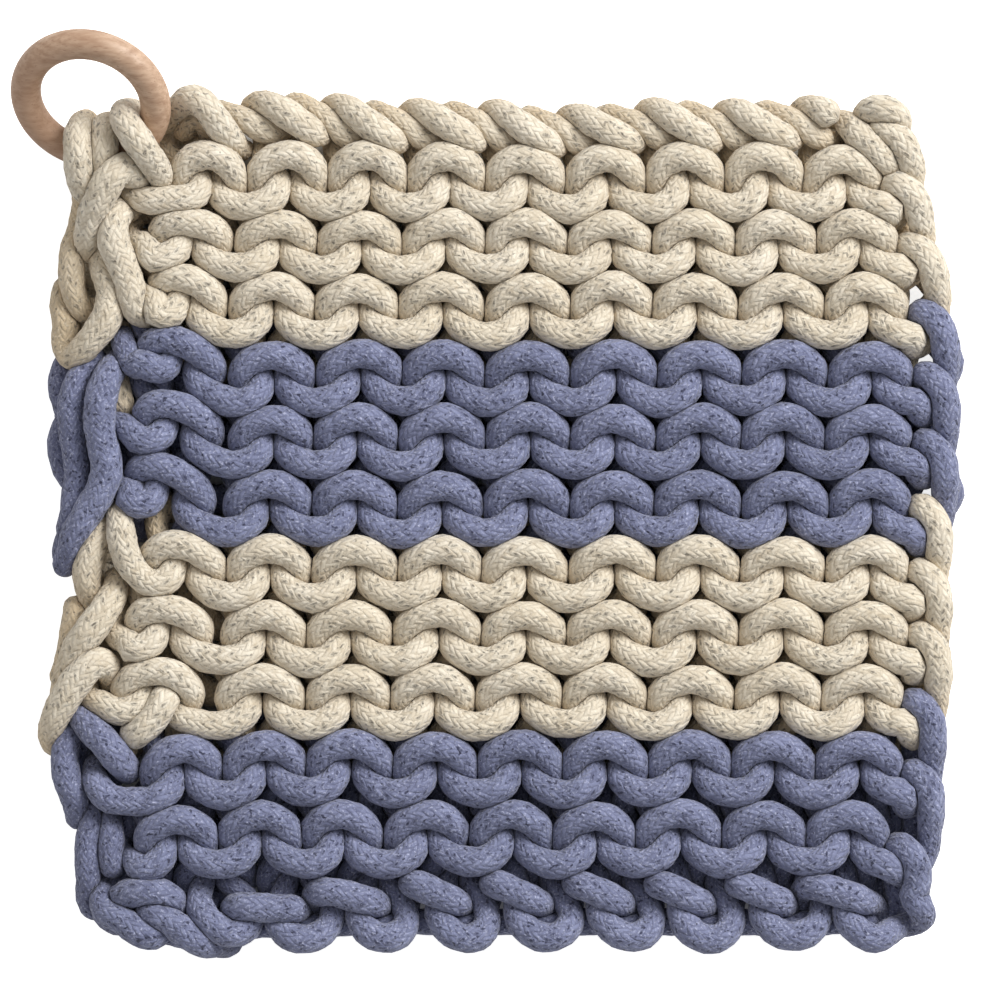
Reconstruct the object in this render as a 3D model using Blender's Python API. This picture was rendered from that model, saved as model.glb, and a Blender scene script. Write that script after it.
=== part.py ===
"""Square pot holder in garter-stitch cotton cord, lying on its back, with a wooden hanging ring.

X runs along the stitches, Y up the knitting from the cast-on to the cast-off edge, Z up.
The origin is the middle of the object's box, at the surface that the pad lies on.
The ring stands up from the upper-left corner, where loops of the cord go round it.
"""

import math
from collections import namedtuple

import bmesh
import bpy
from mathutils import Matrix, Vector

MM = 0.001

# Driving dimensions, in millimetres.
CORD_DIAMETER = 7.2
STITCH_PITCH = 18.8
RIDGE_PITCH = 14.9
RIDGES = 12
PAD_THICKNESS = 16.0
FURROW_DEPTH = 4.2
STITCH_DIP = 0.9
SCALLOP_DEPTH = 2.6
EDGE_DROP = 2.4
FOOT_INSET = 3.6
BULGE_INSET = 0.9
BULGE_HEIGHT = 3.0
RING_OUTER_DIAMETER = 37.6
RING_SECTION = 7.0
RING_TILT_DEG = 39.0
RING_TURN_DEG = -19.0
RING_GAP = 0.5
LOOP_REST_HEIGHT = 0.3

# Places, in millimetres.
FIRST_FURROW_Y = -100.0
RING_CENTRE = Vector((-90.67, 90.54, 18.6))
SCALLOP_PHASE_X = -62.2

# Mesh fineness.
COLUMNS_PER_STITCH = 4
ROWS_PER_RIDGE = (0.0, 0.28, 0.72)
RING_STEPS = 36
SECTION_STEPS = 12
LOOP_STEPS = 17
LOOP_SECTION_STEPS = 8

# The side edges, from the cast-on edge up: how far each reaches at that height.
SideRow = namedtuple("SideRow", "y left right")
SIDES = (
    SideRow(-104.0, -86.0, 96.0),
    SideRow(-98.0, -92.0, 102.5),
    SideRow(-88.0, -95.5, 100.5),
    SideRow(-74.0, -97.5, 105.0),
    SideRow(-60.0, -101.5, 105.5),
    SideRow(-51.0, -104.0, 107.8),
    SideRow(-36.0, -97.5, 107.8),
    SideRow(-24.0, -96.0, 106.8),
    SideRow(-8.0, -99.0, 107.2),
    SideRow(8.0, -100.0, 108.6),
    SideRow(24.0, -100.5, 109.0),
    SideRow(36.0, -99.0, 108.0),
    SideRow(50.0, -98.5, 105.5),
    SideRow(62.0, -97.0, 102.5),
    SideRow(74.0, -95.5, 99.0),
    SideRow(84.0, -94.5, 96.8),
    SideRow(91.0, -94.5, 94.5),
)

# The cast-off edge, from the ring's corner to the right.
TopColumn = namedtuple("TopColumn", "x y")
TOP_EDGE = (
    TopColumn(-96.0, 73.5),
    TopColumn(-79.0, 75.5),
    TopColumn(-73.0, 83.0),
    TopColumn(-68.5, 92.4),
    TopColumn(-45.0, 92.8),
    TopColumn(-10.0, 89.6),
    TopColumn(8.0, 88.6),
    TopColumn(27.0, 91.4),
    TopColumn(45.0, 90.2),
    TopColumn(60.0, 89.0),
    TopColumn(72.0, 90.6),
    TopColumn(83.0, 88.6),
    TopColumn(90.0, 91.0),
    TopColumn(97.0, 88.0),
)

# The cast-on edge, without its scallops.
BottomColumn = namedtuple("BottomColumn", "x y")
BOTTOM_EDGE = (
    BottomColumn(-97.0, -92.0),
    BottomColumn(-88.0, -99.5),
    BottomColumn(-70.0, -103.2),
    BottomColumn(-62.0, -106.3),
    BottomColumn(86.0, -106.3),
    BottomColumn(95.0, -102.6),
    BottomColumn(104.0, -99.6),
)

# Heights at which the rows bend to meet the two long edges.
TOP_BEND_Y = 70.0
BOTTOM_BEND_Y = -88.0
TOP_ROW_Y = 92.0
BOTTOM_ROW_Y = -106.0

# Colour stripes, from the cast-on edge up: the ridge after the stripe's last, and its colour.
COLOURS = ("cream", "blue")
Stripe = namedtuple("Stripe", "end_ridge colour")
STRIPES = (
    Stripe(3, "blue"),
    Stripe(6, "cream"),
    Stripe(9, "blue"),
    Stripe(RIDGES + 1, "cream"),
)

# The loops of cord round the ring, by their angle along it from its right-hand end.
HOLDING_LOOPS_DEG = (86.0, 60.0, 31.0)


def clear_scene():
    """Remove every object that the scene holds."""
    for thing in list(bpy.data.objects):
        bpy.data.objects.remove(thing, do_unlink=True)


def make_material(name, colour, roughness):
    """A plain Principled material."""
    material = bpy.data.materials.new(name)
    material.use_nodes = True
    shader = material.node_tree.nodes["Principled BSDF"]
    shader.inputs["Base Color"].default_value = (*colour, 1.0)
    shader.inputs["Roughness"].default_value = roughness
    shader.inputs["Metallic"].default_value = 0.0
    return material


def along(rows, place, key, value):
    """Read a column of a table at a place between two of its rows."""
    places = [getattr(row, key) for row in rows]
    values = [getattr(row, value) for row in rows]
    if place <= places[0]:
        return values[0]
    for index in range(1, len(places)):
        if place <= places[index]:
            share = (place - places[index - 1]) / (places[index] - places[index - 1])
            share = share * share * (3 - 2 * share)
            return values[index - 1] + share * (values[index] - values[index - 1])
    return values[-1]


def row_heights():
    """The Y of each row of the pad's upper face, a few to each ridge."""
    heights = [BOTTOM_ROW_Y]
    for ridge in range(RIDGES + 1):
        for share in ROWS_PER_RIDGE:
            height = FIRST_FURROW_Y + (ridge + share) * RIDGE_PITCH
            if BOTTOM_ROW_Y + 2 < height < TOP_ROW_Y - 2:
                heights.append(height)
    heights.append(TOP_ROW_Y)
    return heights


def bottom_edge(x):
    """The cast-on edge with a scallop under each stitch."""
    phase = (x - SCALLOP_PHASE_X) / STITCH_PITCH * 2 * math.pi
    scallop = SCALLOP_DEPTH * 0.5 * (1 - math.cos(phase))
    return along(BOTTOM_EDGE, x, "x", "y") + scallop


def bend_to_edges(x, y):
    """Move a point of the level rows so that the outer rows follow the two long edges."""
    if y > TOP_BEND_Y:
        share = (y - TOP_BEND_Y) / (TOP_ROW_Y - TOP_BEND_Y)
        return TOP_BEND_Y + share * (along(TOP_EDGE, x, "x", "y") - TOP_BEND_Y)
    if y < BOTTOM_BEND_Y:
        share = (BOTTOM_BEND_Y - y) / (BOTTOM_BEND_Y - BOTTOM_ROW_Y)
        return BOTTOM_BEND_Y + share * (bottom_edge(x) - BOTTOM_BEND_Y)
    return y


def upper_face_height(x, y):
    """The knitted relief: a furrow under each ridge, and a dip between stitches."""
    ridge_share = ((y - FIRST_FURROW_Y) / RIDGE_PITCH) % 1.0
    furrow = max(0.0, 1 - min(ridge_share, 1 - ridge_share) / ROWS_PER_RIDGE[1])
    stitch_share = ((x - SCALLOP_PHASE_X) / STITCH_PITCH) % 1.0
    dip = 0.5 + 0.5 * math.cos(2 * math.pi * stitch_share)
    return PAD_THICKNESS - FURROW_DEPTH * furrow - STITCH_DIP * dip


def stripe_colour(y):
    """The material slot of the stripe at a height on the pad: 0 is cream and 1 is blue."""
    ridge = (y - FIRST_FURROW_Y) / RIDGE_PITCH
    for stripe in STRIPES:
        if ridge < stripe.end_ridge:
            return COLOURS.index(stripe.colour)
    return COLOURS.index(STRIPES[-1].colour)


def point_on_pad(share_across, level, inset):
    """A point of the pad's plan, drawn in towards the middle by an inset."""
    half_height = (TOP_ROW_Y - BOTTOM_ROW_Y) / 2
    middle = (TOP_ROW_Y + BOTTOM_ROW_Y) / 2
    drawn_level = middle + (level - middle) * (1 - inset / half_height)
    left = along(SIDES, drawn_level, "y", "left") + inset
    right = along(SIDES, drawn_level, "y", "right") - inset
    x = left + (right - left) * share_across
    return x, bend_to_edges(x, drawn_level)


def pad_body():
    """The flat mat: the knitted relief above, rounded sides, and one flat face below."""
    heights = row_heights()
    widest = max(row.right - row.left for row in SIDES)
    columns = round(widest / STITCH_PITCH * COLUMNS_PER_STITCH)
    last_row = len(heights) - 1
    mesh = bmesh.new()
    grid = []
    for row, level in enumerate(heights):
        line = []
        for column in range(columns + 1):
            x, y = point_on_pad(column / columns, level, 0.0)
            z = upper_face_height(x, level)
            steps_in = min(column, columns - column, row, last_row - row)
            if steps_in == 0:
                z = PAD_THICKNESS / 2
            elif steps_in == 1:
                z = min(z, PAD_THICKNESS - EDGE_DROP)
            line.append(mesh.verts.new(Vector((x, y, z)) * MM))
        grid.append(line)
    for row in range(last_row):
        colour = stripe_colour((heights[row] + heights[row + 1]) / 2)
        for column in range(columns):
            corners = (
                grid[row][column],
                grid[row][column + 1],
                grid[row + 1][column + 1],
                grid[row + 1][column],
            )
            mesh.faces.new(corners).material_index = colour

    places = [(0, column) for column in range(columns + 1)]
    places += [(row, columns) for row in range(1, last_row + 1)]
    places += [(last_row, column) for column in reversed(range(columns))]
    places += [(row, 0) for row in reversed(range(1, last_row))]
    loops = [[grid[row][column] for row, column in places]]
    for inset, z in ((BULGE_INSET, BULGE_HEIGHT), (FOOT_INSET, 0.0)):
        loop = []
        for row, column in places:
            x, y = point_on_pad(column / columns, heights[row], inset)
            loop.append(mesh.verts.new(Vector((x, y, z)) * MM))
        loops.append(loop)
    for upper, lower in zip(loops, loops[1:]):
        for index, (row, column) in enumerate(places):
            after = (index + 1) % len(places)
            side = (upper[after], upper[index], lower[index], lower[after])
            mesh.faces.new(side).material_index = stripe_colour(heights[row])
    mesh.faces.new(list(reversed(loops[-1])))
    bmesh.ops.recalc_face_normals(mesh, faces=mesh.faces)
    data = bpy.data.meshes.new("knitted_pad")
    mesh.to_mesh(data)
    mesh.free()
    return data


def ring_frame():
    """The ring's place: tilted about its long axis as seen from above, then turned."""
    tilt = Matrix.Rotation(math.radians(RING_TILT_DEG), 4, "X")
    turn = Matrix.Rotation(math.radians(RING_TURN_DEG), 4, "Z")
    return Matrix.Translation(RING_CENTRE * MM) @ turn @ tilt


def torus_mesh(name, radius, section_radius, steps, section_steps):
    """A ring about Z, built by spinning a round section."""
    mesh = bmesh.new()
    section = bmesh.ops.create_circle(mesh, segments=section_steps, radius=section_radius * MM)
    place = Matrix.Translation((radius * MM, 0, 0)) @ Matrix.Rotation(math.pi / 2, 4, "X")
    bmesh.ops.transform(mesh, matrix=place, verts=section["verts"])
    bmesh.ops.spin(
        mesh,
        geom=list(mesh.edges) + list(mesh.verts),
        axis=(0, 0, 1),
        cent=(0, 0, 0),
        angle=2 * math.pi,
        steps=steps,
        use_merge=True,
    )
    bmesh.ops.recalc_face_normals(mesh, faces=mesh.faces)
    data = bpy.data.meshes.new(name)
    mesh.to_mesh(data)
    mesh.free()
    return data


def add_object(name, data, materials):
    """Link a mesh into the scene as a smooth-shaded object."""
    thing = bpy.data.objects.new(name, data)
    for material in materials:
        data.materials.append(material)
    data.shade_smooth()
    bpy.context.scene.collection.objects.link(thing)
    return thing


def add_guide(name, data, frame):
    """Link a mesh that only shapes another object."""
    guide = bpy.data.objects.new(name, data)
    guide.matrix_world = frame
    guide.hide_render = True
    guide.display_type = "WIRE"
    bpy.context.scene.collection.objects.link(guide)
    return guide


def add_boolean(thing, guide, operation):
    """Join a guide to an object, or cut it out."""
    modifier = thing.modifiers.new(guide.name, "BOOLEAN")
    modifier.operation = operation
    modifier.solver = "EXACT"
    modifier.object = guide


def holding_loop_mesh(frame):
    """One turn of cord round the ring, pressed flat just above the surface below.

    It grips the ring's section here. The clearance cut out later opens it a little.
    """
    loop_radius = RING_SECTION / 2 + CORD_DIAMETER / 2
    data = torus_mesh(
        "holding_loop", loop_radius, CORD_DIAMETER / 2, LOOP_STEPS, LOOP_SECTION_STEPS
    )
    data.transform(frame)
    for vertex in data.vertices:
        vertex.co.z = max(vertex.co.z, LOOP_REST_HEIGHT * MM)
    return data


def main():
    """Build the pad and the ring."""
    clear_scene()
    cream = make_material("cream_cotton_cord", (0.74, 0.68, 0.56), 0.9)
    blue = make_material("periwinkle_cotton_cord", (0.21, 0.24, 0.45), 0.9)
    wood = make_material("plain_beech", (0.56, 0.38, 0.25), 0.55)

    ring_radius = (RING_OUTER_DIAMETER - RING_SECTION) / 2
    frame = ring_frame()
    ring_mesh = torus_mesh(
        "hanging_ring", ring_radius, RING_SECTION / 2, RING_STEPS, SECTION_STEPS
    )
    ring = add_object("hanging_ring", ring_mesh, [wood])
    ring.matrix_world = frame

    pad = add_object("knitted_pad", pad_body(), [cream, blue])
    for number, angle in enumerate(HOLDING_LOOPS_DEG, 1):
        along_ring = Matrix.Rotation(math.radians(-angle), 4, "Z")
        out_to_section = Matrix.Translation((ring_radius * MM, 0, 0))
        across_section = Matrix.Rotation(math.pi / 2, 4, "X")
        loop_frame = frame @ along_ring @ out_to_section @ across_section
        loop = add_guide(f"holding_loop_{number}", holding_loop_mesh(loop_frame), Matrix())
        add_boolean(pad, loop, "UNION")
    clearance_mesh = torus_mesh(
        "ring_clearance", ring_radius, RING_SECTION / 2 + RING_GAP, RING_STEPS, SECTION_STEPS
    )
    clearance = add_guide("ring_clearance", clearance_mesh, frame)
    add_boolean(pad, clearance, "DIFFERENCE")


main()
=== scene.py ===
"""Looks of a garter-stitch pot holder: braided cotton cord in four stripes and a wooden hanging ring.

The run of the cord is worked out stitch by stitch, then eased until no two turns of it share the same
space, and covered with a braided tube that presses flat where it touches itself, the ring or the table.
"""

import logging
import math
from dataclasses import dataclass, field
from enum import Enum

import bpy
import numpy as np
from mathutils import Matrix, Vector
from mathutils.kdtree import KDTree


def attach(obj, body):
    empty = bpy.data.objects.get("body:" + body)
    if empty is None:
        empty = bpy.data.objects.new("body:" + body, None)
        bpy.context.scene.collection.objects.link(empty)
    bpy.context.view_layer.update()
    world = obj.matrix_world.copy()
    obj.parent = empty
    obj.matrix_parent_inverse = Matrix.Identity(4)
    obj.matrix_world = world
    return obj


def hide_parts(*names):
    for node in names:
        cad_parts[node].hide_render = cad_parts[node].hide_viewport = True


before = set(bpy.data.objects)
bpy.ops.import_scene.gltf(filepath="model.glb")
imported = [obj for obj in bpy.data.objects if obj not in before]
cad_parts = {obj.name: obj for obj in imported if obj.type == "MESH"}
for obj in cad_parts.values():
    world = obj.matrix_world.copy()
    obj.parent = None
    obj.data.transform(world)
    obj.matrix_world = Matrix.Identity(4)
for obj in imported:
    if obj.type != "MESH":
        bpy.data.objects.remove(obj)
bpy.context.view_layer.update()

MM = 0.001
BODY = "root"
PAD_NODE = "knitted_pad"
RING_NODE = "hanging_ring"
CORD_MAP = "cord_uv"
PAD_MIDDLE = 9.4  # height of the middle of the pad over the table, in millimetres

Socket = bpy.types.NodeSocket
log = logging.getLogger("pot_holder")


class Yarn(Enum):
    """The two colours of cord, each named for its slot in the record."""

    CREAM = "cream_cord"
    BLUE = "blue_cord"


class Face(Enum):
    """The face of the pad that a row of knitting shows its heads on: 1 is the front, -1 the back."""

    FRONT = 1.0
    BACK = -1.0


@dataclass(frozen=True)
class PictureScale:
    """Turns places in the photograph, in pixels, into millimetres on the pad."""

    pixels_per_mm: float = 4.35
    zero_x: float = 486.0  # picture column of X = 0
    zero_y: float = 494.0  # picture row of Y = 0
    middle: float = 500.0

    def x(self, pixel: float) -> float:
        """Gives the X of a picture column."""
        return (pixel - self.zero_x) / self.pixels_per_mm

    def y(self, pixel: float) -> float:
        """Gives the Y of a picture row."""
        return (self.zero_y - pixel) / self.pixels_per_mm

    def run(self, places: tuple, level: float = 0.0) -> np.ndarray:
        """Places a run of given points.

        Args:
            places: (column, row, height in mm) of each point.
            level: height that the points' own heights are measured from.

        Returns:
            One X, Y, Z row for each point, in millimetres.
        """
        return np.array([(self.x(a), self.y(b), level + c) for a, b, c in places])

    def over_table(self, places: tuple) -> np.ndarray:
        """Places a run of given points whose heights are measured from the table."""
        return self.run(places, -PAD_MIDDLE)


PICTURE = PictureScale()


@dataclass(frozen=True)
class Ridge:
    """One garter ridge as the picture shows it.

    Args:
        y: picture row of the ridge's middle.
        x: picture column of the head of the middle stitch.
        pitch: width of a stitch in pixels.
        right: picture column of the outermost cord at its right end.
        rise: how far its left end climbs, in pixels.
        left: picture column of the outermost cord at its left end.
        pull: how far its leftmost stitch is drawn to the left, in pixels.
    """

    y: float
    x: float
    pitch: float
    right: float
    rise: float
    left: float
    pull: float


RIDGES = (
    Ridge(186, 524.0, 79.5, 902, 5, 120, 0),
    Ridge(246, 523.5, 83.2, 915, 16, 138, 6),
    Ridge(311, 523.0, 85.0, 934, 24, 134, 4),
    Ridge(379, 526.0, 85.3, 945, 45, 122, 8),
    Ridge(441, 524.0, 85.3, 945, 30, 120, 12),
    Ridge(509, 523.0, 86.2, 944, 36, 122, 13),
    Ridge(574, 523.0, 85.6, 933, 18, 118, 2),
    Ridge(638, 520.0, 86.3, 935, 13, 116, 12),
    Ridge(701, 515.0, 86.1, 936, 9, 92, 15),
    Ridge(769, 516.0, 84.5, 929, -10, 94, 0),
    Ridge(839, 508.5, 84.2, 929, -10, 118, 0),
    Ridge(914, 502.0, 81.5, 914, 16, 112, 0),
)


@dataclass(frozen=True)
class Stripe:
    """Three ridges of one colour, numbered from the cast-off edge down."""

    name: str
    yarn: Yarn
    first: int
    last: int


STRIPES = (
    Stripe("cream_stripe_upper", Yarn.CREAM, 0, 2),
    Stripe("blue_stripe_upper", Yarn.BLUE, 3, 5),
    Stripe("cream_stripe_lower", Yarn.CREAM, 6, 8),
    Stripe("blue_stripe_lower", Yarn.BLUE, 9, 11),
)


def add_object(name: str, data: bpy.types.ID) -> bpy.types.Object:
    """Makes an object from its data and puts it in the scene."""
    made = bpy.data.objects.new(name, data)
    bpy.context.scene.collection.objects.link(made)
    return made


def smooth_mesh(name: str, verts: list, faces: list) -> bpy.types.Mesh:
    """Makes a mesh from its vertices and faces, with smooth shading."""
    data = bpy.data.meshes.new(name)
    data.from_pydata(verts, [], faces)
    data.polygons.foreach_set("use_smooth", [True] * len(data.polygons))
    return data


def tree_of(points: np.ndarray) -> KDTree:
    """Sorts points so that the ones near a place are found quickly."""
    tree = KDTree(len(points))
    for i, co in enumerate(points):
        tree.insert(co, i)
    tree.balance()
    return tree


def strand_numbers(runs: list) -> np.ndarray:
    """Gives the number of the strand that each point is on, for the points of all runs in a row."""
    return np.concatenate([np.full(len(run), n) for n, run in enumerate(runs)])


def smooth_run(points: np.ndarray, spacing: float) -> np.ndarray:
    """Lays a smooth curve through points and sets new points evenly along it.

    Args:
        points: one row for each point that the curve passes.
        spacing: distance between the new points.

    Returns:
        The new points, one row each.
    """
    before = 2 * points[0] - points[1]
    after = 2 * points[-1] - points[-2]
    p = np.vstack([before, points, after])
    t = np.linspace(0.0, 1.0, 8, endpoint=False)[:, None]
    parts = []
    for a, b, c, d in zip(p[:-3], p[1:-2], p[2:-1], p[3:]):
        curve = 2 * b + (c - a) * t + (2 * a - 5 * b + 4 * c - d) * t**2
        parts.append(0.5 * (curve + (3 * b - a - 3 * c + d) * t**3))
    fine = np.vstack(parts + [points[-1:]])
    along = np.concatenate([[0.0], np.cumsum(np.linalg.norm(np.diff(fine, axis=0), axis=1))])
    count = max(4, int(round(along[-1] / spacing)) + 1)
    even = np.linspace(0.0, along[-1], count)
    return np.stack([np.interp(even, along, fine[:, k]) for k in range(3)], axis=1)


@dataclass
class StitchShape:
    """The loops that the cord makes in its rows, in millimetres unless a name ends in px."""

    columns: int = 9
    steps: int = 20
    head_lift: float = 5.25  # how far the heads of a front row stand above the middle of their ridge
    back_lift: float = 6.1  # how far the loops reach past the middle between two ridges
    top_gap_px: float = 58.0  # picture distance from the first ridge up to where the next one would be
    top_lift: float = 1.8  # how much higher the heads of the first ridge stand than the others
    side_swing: float = 3.2
    depth: float = 6.1  # how far the loops turn out of the pad's middle, to its front and back
    flatness: float = -0.06  # how blunt those turns are
    roll: float = 0.18  # how far the loops of a front row are rolled over to the right, in radians
    back_roll: float = 0.28  # the same for a back row
    edge_roll: float = -0.25  # the same for the last ridge
    point: float = 0.07  # how narrow the heads are at their tops
    sinker_lean: float = 1.9  # how far the low parts of a back row lean to the right
    head_lean: float = 0.8  # how far the heads of a front row lean to the right
    uneven: float = 0.25  # how far stitches stray from even rows, as they do in handwork
    # size, length along X, length along Y and start of the waves that move them sideways
    side_waves: tuple = ((1.0, 9.0, 7.0, 0.0), (0.7, 15.0, -6.0, 2.0))
    # the same for the waves that move them up and down
    rise_waves: tuple = ((1.0, 7.0, -11.0, 1.0), (0.7, 12.0, 8.0, 0.0))
    rise_start_px: float = 250.0  # picture column left of which the rows climb
    rise_reach_px: float = 110.0  # how far left of it a row has climbed by its ridge's rise
    rise_limit: float = 1.3  # the most that it climbs, as a part of the way
    pull_reach_px: float = 70.0  # how far left of it the leftmost stitch is drawn out fully
    edge_shift_px: float = 17.0  # how far the cast-on row lies right of and above its ridge's middle
    edge_lean_px: float = 12.0  # how far its slanted heads reach to both sides
    edge_half_height_px: float = 12.5  # half of the height that a slanted head falls through
    edge_sag_px: float = 18.0
    edge_lag: float = 0.4  # how much later in a stitch it turns from the back to the front, in radians
    edge_depth: float = 1.1  # how much deeper than the other rows it turns
    edge_flatness: float = 0.13
    edge_drop_px: float = 38.0  # how far it drops at the left corner of the pad
    corner_px: float = 200.0  # picture column of that corner
    corner_reach_px: float = 90.0  # how far from the corner the drop fades

    def along(self) -> np.ndarray:
        """Gives the place of each point of a row, counted in stitches from its left end."""
        return np.linspace(0.5, self.columns + 0.5, self.columns * self.steps + 1)

    def from_middle(self, along: np.ndarray) -> np.ndarray:
        """Counts places in stitches from the middle stitch."""
        return along - (self.columns + 1) / 2

    def turned(self, ridge: int, face: Face) -> float:
        """Gives how far the loops of a row are rolled over to the right, in radians."""
        if ridge == len(RIDGES) - 1:
            return self.edge_roll
        return self.roll if face is Face.FRONT else self.back_roll

    def stray(self, x: np.ndarray, y: np.ndarray) -> tuple:
        """Moves places a little off the even rows, both faces alike, so that no crossing changes.

        Args:
            x: X of each place.
            y: Y of each place.

        Returns:
            The new X and Y.
        """
        moves = []
        for waves in (self.side_waves, self.rise_waves):
            moves.append(sum(size * np.sin(x / long + y / high + late) for size, long, high, late in waves))
        return x + self.uneven * moves[0], y + self.uneven * moves[1]

    def row(self, ridge: int, face: Face) -> np.ndarray:
        """Lays one row of stitches from its left end to its right end.

        Args:
            ridge: number of the ridge from the cast-off edge down.
            face: the face that the row shows its heads on.

        Returns:
            Points from the sinker before the first stitch to the one after the last.
        """
        here = RIDGES[ridge]
        if ridge == len(RIDGES) - 1 and face is Face.FRONT:
            return self.cast_on()
        middle = PICTURE.y(here.y)
        if face is Face.FRONT:
            head = middle + self.head_lift + (0.0 if ridge else self.top_lift)
            below = RIDGES[ridge + 1].y
            sinker = (middle + PICTURE.y(below)) / 2 - self.back_lift
        else:
            sinker = middle - self.head_lift
            above = RIDGES[ridge - 1].y if ridge else here.y - self.top_gap_px
            head = (middle + PICTURE.y(above)) / 2 + self.back_lift
        along = self.along()
        turn = 2 * math.pi * along
        pitch = here.pitch / PICTURE.pixels_per_mm
        x = PICTURE.x(here.x) + pitch * self.from_middle(along) + self.side_swing * np.sin(2 * turn)
        lean = self.head_lean if face is Face.FRONT else -self.sinker_lean
        x = x + lean * np.cos(turn)
        sway = (np.cos(turn) + self.point * np.cos(3 * turn)) / (1 + self.point)
        y = (head + sinker) / 2 + (head - sinker) / 2 * sway
        deep = turn - self.turned(ridge, face)
        z = (1 + self.flatness) * np.cos(deep) - self.flatness * np.cos(3 * deep)
        left = (PICTURE.x(self.rise_start_px) - x) * PICTURE.pixels_per_mm
        bend = np.clip(left / self.rise_reach_px, 0.0, self.rise_limit) ** 2
        y = y + here.rise / PICTURE.pixels_per_mm * bend
        near = np.clip(left / self.pull_reach_px, 0.0, 1.0)
        x = x - here.pull / PICTURE.pixels_per_mm * near * near * (3 - 2 * near)
        x, y = self.stray(x, y)
        return np.stack([x, y, face.value * self.depth * z], axis=1)

    def cast_on(self) -> np.ndarray:
        """Lays the cast-on row, a cord that leans to the right over the loops of the bottom edge.

        Returns:
            Points of the row from its left end to its right end.
        """
        here = RIDGES[-1]
        along = self.along()
        phase = 2 * math.pi * (along + 0.25)
        late = phase + self.edge_lag
        x = here.x + here.pitch * self.from_middle(along) + self.edge_shift_px
        x = x - self.edge_lean_px * np.cos(phase)
        corner = np.exp(-(((x - self.corner_px) / self.corner_reach_px) ** 2))
        behind = np.clip(-np.sin(late), 0.0, 1.0)
        y = here.y - self.edge_shift_px - self.edge_half_height_px * np.cos(phase)
        y = y + self.edge_drop_px * corner + self.edge_sag_px * behind * (1 - corner)
        z = self.edge_depth * self.depth * (np.sin(late) + self.edge_flatness * np.sin(3 * late))
        return np.stack([PICTURE.x(x), PICTURE.y(y), z], axis=1)


@dataclass
class EdgeLinks:
    """The long edge stitches at both sides, which link one ridge to the next like a chain.

    Each point of a link is (columns to the right, rows down, part of the depth), counted from the
    outermost cord at that end of its ridge.
    """

    depth: float = 5.6  # how far the links turn out of the pad's middle, in millimetres
    right_link: tuple = (
        (-24, 26, -0.85), (-18, -16, -0.95), (-22, -54, -0.3), (-19, -68, 0.6), (-4, -54, 1.0),
        (1, -32, 0.85), (1, -10, 0.4), (-1, 12, 0.0), (-9, 28, -0.1), (-22, 36, 0.15),
    )
    # the link of the last ridge, which runs into the cast-on row
    last_link: tuple = (
        (-20, 2, -0.9), (-20, -24, -0.9), (-22, -54, -0.3), (-19, -68, 0.6), (-4, -54, 1.0),
        (1, -32, 0.85), (-3, -20, 0.75), (5, -6, 0.7), (7, 6, 0.1), (-8, 10, -0.4), (-20, 14, 0.2),
    )
    left_link: tuple = ((12, 15, 0.7), (-4, 8, 0.15), (-9, -7, -0.4), (1, -24, -0.85), (20, -26, -0.95))
    # for the ridges whose right links leave a gap: columns to the right of their second point
    loose_px: dict = field(default_factory=lambda: {2: 7.0, 3: 8.0, 5: 8.0})
    # for the first ridge of each stripe: the end of its cord at the left, given point by point
    left_tails: dict = field(
        default_factory=lambda: {
            0: ((148, 205, 14), (131, 199, 11), (122, 184, 6)),
            3: ((131, 368, 12), (123, 352, 9), (126, 338, 5)),
            6: ((128, 562, 15), (121, 541, 15.3), (118, 522, 13), (114, 508, 8)),
            9: ((112, 799, 14.5), (99, 787, 13.5), (94, 772, 9), (100, 758, 5)),
        }
    )

    def place(self, column: float, row: float, link: tuple) -> np.ndarray:
        """Places a link at the end of a ridge.

        Args:
            column: picture column of the outermost cord there.
            row: picture row of the ridge there.
            link: the points of the link.

        Returns:
            Its points in millimetres, heights measured from the middle of the pad.
        """
        return PICTURE.run(tuple((column + a, row + b, c * self.depth) for a, b, c in link))

    def right(self, ridge: int) -> np.ndarray:
        """Lays the link at the right end of a ridge, from its back row up and round to its front row."""
        here = RIDGES[ridge]
        link = self.last_link if ridge == len(RIDGES) - 1 else self.right_link
        if ridge in self.loose_px:
            link = (link[0], (self.loose_px[ridge], *link[1][1:]), *link[2:])
        return self.place(here.right, here.y, link)

    def left(self, ridge: int) -> np.ndarray:
        """Lays the link at the left end of a ridge, up to the next back row or to the stripe's end."""
        here = RIDGES[ridge]
        if ridge in self.left_tails:
            return PICTURE.over_table(self.left_tails[ridge])
        return self.place(here.left, here.y - here.rise, self.left_link)


@dataclass
class Strand:
    """One length of cord with the piece that it belongs to.

    Args:
        piece: name of the piece.
        yarn: colour of the cord.
        points: its run, in millimetres.
        hold: how firmly it keeps to that run when the cords are eased apart.
        girth: its thickness as a part of the usual one.
    """

    piece: str
    yarn: Yarn
    points: np.ndarray
    hold: float = 0.015
    girth: float = 1.0


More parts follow.
